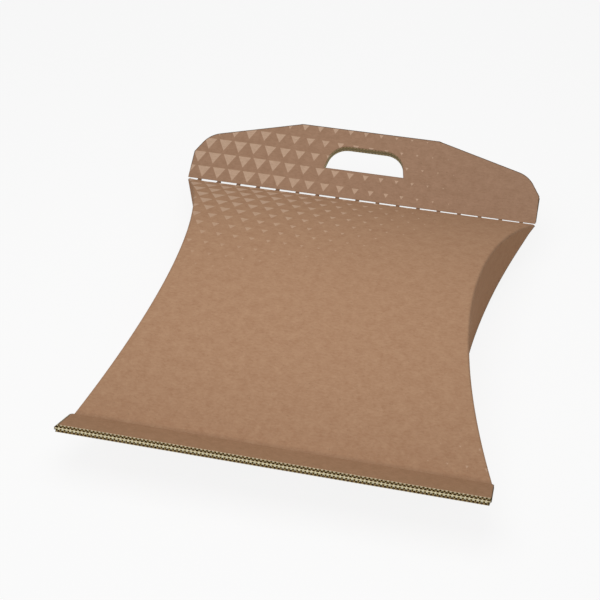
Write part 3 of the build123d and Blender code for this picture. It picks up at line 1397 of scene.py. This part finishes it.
@dataclass
class CarryHandle(FlutedWing):
    """Two-board handle, folded over at its crest and cut out for the hand."""

    wing: Wing = Wing.HANDLE
    height: float = 70.6 * MM
    side_height: float = 28.0 * MM
    shoulder_height: float = 46.9 * MM
    shoulder_inset: float = 10.8 * MM
    shoulder_radius: float = 24.0 * MM
    right_overhang: float = 1.3 * MM
    crest_length: float = 124.5 * MM
    crest_radius: float = 1.2 * MM
    crest_steps: int = 6
    sliver: float = 0.005 * MM
    # The front liner reaches a little into the slots, and what lies behind it stays clear of them
    slot_reach: float = 0.5 * MM
    slot_setback: float = 1.5 * MM
    # Hand hole, whose sides lean in and whose top lies lower in the lower board
    hole_base: float = 28.6 * MM
    hole_height: float = 24.05 * MM
    hole_width: float = 75.0 * MM
    hole_radius: float = 18.0 * MM
    hole_left_inset: float = 1.2 * MM
    hole_lean: float = math.radians(12.0)
    hole_slip: float = 1.25 * MM
    # Painted shade and wear round the hand hole
    hole_shade_and_wear: float = 0.5
    crushed_rim: float = 4.0 * MM

    def medium(self, ply: Ply) -> Material:
        """Finish of one board's fluting, the same in both boards, its slopes lightened as painted light in
        the handle's shade.
        """
        return self.finishes.dusty_fluting

    def side_shade_and_wear(self, x: float) -> float:
        """Painted shade and wear along a cut side, which is less round the hand hole."""
        return self.hole_shade_and_wear if abs(x) <= self.hole_width / 2 + WELD else self.rim_shade_and_wear

    def sides(self, start: float) -> tuple[list[Corner], list[Corner]]:
        """Corners of the right side from its lower end to the crest, and of the left side from there.

        Args:
            start: Reach of the lower end.

        Returns:
            Corners and radii of the right side and of the left side.
        """
        half = self.form.half_width
        rise = [((half, start), 0.0), ((half, self.side_height), 0.0),
                ((half - self.shoulder_inset, self.shoulder_height), self.shoulder_radius),
                ((self.crest_length / 2, self.height), 0.0)]
        left = [((-x, reach), radius) for (x, reach), radius in reversed(rise)]
        right = [((x + self.right_overhang, reach), radius) for (x, reach), radius in rise[:2]] + rise[2:]
        return right, left

    def hole(self, ply: Ply, wider: float = 0.0) -> list[Point2]:
        """Outline of the hand hole in one board, with a straight base and rounded upper corners.

        Args:
            ply: Which of the two boards.
            wider: Distance by which the outline is moved out on all sides.

        Returns:
            Points of the outline in order.
        """
        base = self.hole_base - wider
        height = self.hole_height - ply.value * self.hole_slip + 2 * wider
        right = self.hole_width / 2 + wider
        left = self.hole_left_inset - right
        inward = height * math.tan(self.hole_lean)
        radius = self.hole_radius + wider
        return rounded([((left, base), 0.0), ((right, base), 0.0), ((right - inward, base + height), radius),
                        ((left + inward, base + height), radius)])

    def board_outline(self, depth: float) -> list[Point2]:
        """Outline of a layer inside the fold of the crest, cut by the slots at its depth.

        Args:
            depth: Depth of the layer under the handle's upper face.

        Returns:
            Points of the outline in order.
        """
        right, left = self.sides(self.form.handle_slot_edge(depth) + self.slot_setback)
        (shoulder_x, shoulder), (crest_x, crest) = right[-2][0], right[-1][0]
        end = self.height - 2 * self.crest_radius
        slant = (shoulder_x - crest_x) / (crest - shoulder)
        end_x = crest_x + (crest - end) * slant
        return rounded([*right[:-1], ((end_x, end), 0.0), ((-end_x, end), 0.0), *left[1:]])

    def bent(self, x: float, run: float, depth: float) -> Vector:
        """Point of the outer liner, which runs up the front, over the crest and down the back.

        Args:
            x: Place across the handle.
            run: Distance along the liner, counted as if the crest had no thickness.
            depth: Distance behind the liner's outer face.

        Returns:
            The point's place.
        """
        radius, thickness = self.crest_radius, self.form.wing_thickness
        past = min(run, 2 * self.height - run) - (self.height - radius)
        if past <= 0.0:
            reach, rise = self.height - radius + past, -depth
        else:
            angle = past / radius * RIGHT_ANGLE
            reach = self.height - radius + (radius - depth) * math.sin(angle)
            rise = (radius - depth) * math.cos(angle) - radius
        return self.place.place(x, reach, rise if run <= self.height else -thickness - rise)

    def skin(self) -> Piece:
        """Builds the outer liner of both boards as one sheet folded over the crest.

        Returns:
            The finished piece.
        """
        form, fold, radius = self.form, 2 * self.height, self.crest_radius
        back_slots = form.handle_slot_edge(form.wing_thickness)
        front_right, front_left = self.sides(form.handle_slot_edge(0.0) - self.slot_reach)
        back_right, back_left = self.sides(back_slots + self.slot_setback)
        down_back = reversed(back_left[1:] + back_right[:-1])
        back = [((x, fold - reach), corner) for (x, reach), corner in down_back]
        lower_hole = [(x, fold - reach) for x, reach in self.hole(Ply.LOWER)]
        outlines = [rounded(front_right + back + front_left), self.hole(Ply.UPPER), lower_hole]
        # Two cuts close together at the middle of the crest become the two edges of its flat nose.
        steps = [step / self.crest_steps for step in range(self.crest_steps)] + [1 - WELD / radius]
        cuts = [self.height + side * radius * (1 - share) for share in steps for side in (-1, 1)]
        draft = SheetDraft()
        flat = self.filled(outlines, cuts)
        behind = []
        for corner in flat.verts:
            x, run, _ = corner.co
            # Cut sides carry painted shade and wear
            at_side = corner.is_boundary and min(run, fold - run) > back_slots
            darkening = self.side_shade_and_wear(x) if at_side else 0.0
            # The crest's rounding is fully darkened, as painted shade where it turns from the light
            if abs(run - self.height) < radius:
                darkening = 1.0
            draft.point(self.bent(x, run, 0.0), (x, run), darkening)
            behind.append(self.bent(x, run, form.liner))
        for face in flat.faces:
            on_front = face.calc_center_median().y < self.height
            draft.face([corner.index for corner in face.verts], Side.PRINTED if on_front else Side.PLAIN)
        flat.free()
        draft.wall(behind)
        piece = draft.to_object("handle_outer_liner", self.finishes.wing(Edge.UPPER))
        # The two cuts leave slivers at the ends of the crest, which are merged away.
        piece.modifiers.new("weld", "WELD").merge_threshold = self.sliver
        return hand_over(settle(piece))

    def build(self) -> list[Piece]:
        """Builds the folded outer liner, the glued inner liners and the inside of both boards.

        Returns:
            The finished pieces.
        """
        board, liner = self.form.board, self.form.liner
        inner = [self.board_outline(board), self.hole(Ply.UPPER)]
        made = [self.skin(), self.liner("handle_glued_liners", inner, board - liner, 2 * liner, Edge.MIDDLE)]
        for ply in Ply:
            name = f"handle_{ply.name.lower()}"
            rim = [self.hole(ply, self.crushed_rim), self.hole(ply)]
            outlines = [self.board_outline(self.form.ply_middle(ply)), rim[0]]
            made.append(self.fluting(f"{name}_fluting", ply, outlines))
            depth, thickness = ply.value * board + liner, board - 2 * liner
            made.append(self.liner(f"{name}_crushed_rim", rim, depth, thickness, Edge.CRUSHED))
        return made


@dataclass
class PerforatedFold:
    """Row of narrow ties that still join the handle to the box along the back fold."""

    form: BoxForm
    finishes: Finishes
    tie_count: int = 17
    tie_width: float = 3.4 * MM
    end_slot: float = 9.5 * MM
    grip: float = 2.5 * MM
    sunk: float = 0.2 * MM
    crushed_thickness: float = 1.3 * MM

    def section(self) -> list[Vector]:
        """Section of a tie: the crushed fold between the panel and the handle, gripped in both.

        Returns:
            Corners of the section in order, at the middle of the fold.
        """
        form, place = self.form, self.form.wing(Wing.HANDLE)
        inward = Vector((0.0, -math.cos(form.fold_angle), math.sin(form.fold_angle)))
        above = Vector((0.0, math.sin(form.fold_angle), math.cos(form.fold_angle)))
        down = Vector((0.0, 0.0, -1.0))
        near = place.fold + (form.top_slot_edge + self.grip) * inward
        far = form.handle_slot_edge(0.0) + self.grip
        under = self.sunk + self.crushed_thickness
        return [near - self.sunk * above, place.fold + self.sunk * down, place.place(0.0, far, -self.sunk),
                place.place(0.0, far, -under), place.fold + under * down, near - under * above]

    def build(self) -> Piece:
        """Builds one tie and sets it along the fold.

        Returns:
            The finished piece.
        """
        draft = SheetDraft()
        section = self.section()
        ends = []
        for x in (-self.tie_width / 2, self.tie_width / 2):
            ends.append([draft.point(corner + Vector((x, 0.0, 0.0)), (x, corner.y)) for corner in section])
        left, right = ends
        draft.face(left)
        draft.face(right[::-1])
        for number in range(len(section)):
            draft.face((left[number - 1], right[number - 1], right[number], left[number]))
        # The ties' dark finish is partly crushed board and partly painted shade of the fold's valley
        piece = draft.to_object("perforation_ties", [self.finishes.crushed] * len(Side))
        step = (self.form.width - 2 * self.end_slot - self.tie_width) / (self.tie_count - 1)
        first = -step * (self.tie_count - 1) / 2
        inputs = {"Count": self.tie_count, "First": (first, 0.0, 0.0), "Step": (step, 0.0, 0.0),
                  "Finish": self.finishes.crushed}
        return hand_over(run_tree(piece, tie_tree(), inputs))


@dataclass(frozen=True)
class SoftBox:
    """One large soft lamp that looks at the middle of the box."""

    name: str
    place: tuple[float, float, float]
    size: float
    power: float

    def build(self, target: Vector) -> Piece:
        """Builds the lamp.

        Args:
            target: Point that the lamp faces.

        Returns:
            The lamp object.
        """
        lamp = bpy.data.lights.new(self.name, "AREA")
        lamp.size = self.size
        lamp.energy = self.power
        made = bpy.data.objects.new(self.name, lamp)
        made.visible_camera = False
        made.location = self.place
        made.rotation_mode = "QUATERNION"
        made.rotation_quaternion = (target - made.location).to_track_quat("-Z", "Y")
        bpy.context.scene.collection.objects.link(made)
        return made


@dataclass
class Studio:
    """Plain pale floor, soft light and the camera."""

    floor_half: float = 6.0
    floor_colour: str = "#e7e7e7"
    backdrop_colour: str = "#ffffff"
    shadow_share: float = 0.12
    ambient: float = 0.36
    target: Vector = field(default_factory=lambda: Vector((-0.0205, 0.0107, 0.0400)))
    lamp: SoftBox = SoftBox("top_softbox", (-0.03, -0.155, 0.715), 0.5, 3.07)
    camera_place: Vector = field(default_factory=lambda: Vector((0.16777, -0.82186, 0.78943)))
    camera_azimuth: float = math.radians(12.744)
    camera_elevation: float = math.radians(41.291)
    camera_lens: float = 81.713

    @staticmethod
    def seen(tree: Tree) -> Socket:
        """Adds the nodes that tell what is seen, directly or in gloss or glass, from what only lights.

        Args:
            tree: Tree of the floor's material or of the world.

        Returns:
            Socket that is one for a ray that shows the backdrop.
        """
        path = add(tree, "ShaderNodeLightPath").outputs
        shown = path["Is Camera Ray"]
        for ray in ("Is Glossy Ray", "Is Transmission Ray"):
            shown = add(tree, "ShaderNodeMath", {0: shown, 1: path[ray]}, operation="MAXIMUM").outputs[0]
        return shown

    def floor(self) -> Piece:
        """Builds the floor.

        Returns:
            The floor object.
        """
        half = self.floor_half
        corners = [(-half, -half, 0.0), (half, -half, 0.0), (half, half, 0.0), (-half, half, 0.0)]
        mesh = bpy.data.meshes.new("floor")
        mesh.from_pydata(corners, [], [(0, 1, 2, 3)])
        # Matt white paint: seen directly, it is the backdrop's white with a light shadow of the box on it.
        paint = bpy.data.materials.new("matt_white_floor")
        paint.use_nodes = True
        tree = paint.node_tree
        tree.nodes.clear()
        matt = add(tree, "ShaderNodeBsdfDiffuse", {"Color": linear(self.floor_colour)}).outputs[0]
        white = add(tree, "ShaderNodeEmission",
                    {"Color": linear(self.backdrop_colour), "Strength": 1.0}).outputs[0]
        shown = add(tree, "ShaderNodeMixShader", {0: self.shadow_share, 1: white, 2: matt}).outputs[0]
        both = add(tree, "ShaderNodeMixShader", {0: self.seen(tree), 1: matt, 2: shown}).outputs[0]
        add(tree, "ShaderNodeOutputMaterial", {"Surface": both})
        mesh.materials.append(paint)
        made = bpy.data.objects.new("floor", mesh)
        bpy.context.scene.collection.objects.link(made)
        return made

    def world(self) -> None:
        """Lights the scene evenly and shows the backdrop's colour behind the floor."""
        world = bpy.data.worlds.new("studio")
        world.use_nodes = True
        tree = world.node_tree
        tree.nodes.clear()
        white = linear(self.backdrop_colour)
        light = add(tree, "ShaderNodeBackground", {"Color": white, "Strength": self.ambient}).outputs[0]
        shown = add(tree, "ShaderNodeBackground", {"Color": white, "Strength": 1.0}).outputs[0]
        both = add(tree, "ShaderNodeMixShader", {0: self.seen(tree), 1: light, 2: shown}).outputs[0]
        add(tree, "ShaderNodeOutputWorld", {"Surface": both})
        bpy.context.scene.world = world

    def camera(self) -> Piece:
        """Builds the camera at the photograph's angle.

        Returns:
            The camera object.
        """
        data = bpy.data.cameras.new("camera")
        data.lens = self.camera_lens
        made = bpy.data.objects.new("camera", data)
        level = math.cos(self.camera_elevation)
        back = Vector((math.sin(self.camera_azimuth) * level, -math.cos(self.camera_azimuth) * level,
                       math.sin(self.camera_elevation)))
        made.location = self.camera_place
        made.rotation_mode = "QUATERNION"
        made.rotation_quaternion = (-back).to_track_quat("-Z", "Y")
        bpy.context.scene.collection.objects.link(made)
        bpy.context.scene.camera = made
        return made

    def build(self) -> None:
        """Builds the floor, the light and the camera."""
        self.floor()
        self.world()
        self.lamp.build(self.target)
        self.camera()
        bpy.context.scene.view_settings.view_transform = "Standard"


def main() -> None:
    """Builds the box piece by piece, then the studio around it."""
    logging.basicConfig(level=logging.INFO, format="%(name)s: %(message)s")
    form, finishes, flutes = BoxForm(), Finishes.make(), fluting_tree()
    pieces = [TopPanel(form, finishes).build(), LowerPanel(form, finishes).build()]
    pieces += FrontFlange(form, finishes, flutes).build()
    pieces += CarryHandle(form, finishes, flutes).build()
    pieces.append(PerforatedFold(form, finishes).build())
    for piece in pieces:
        log.info("%s: %d faces", piece.name, len(piece.data.polygons))
    Studio().build()


if __name__ == "__main__":
    main()
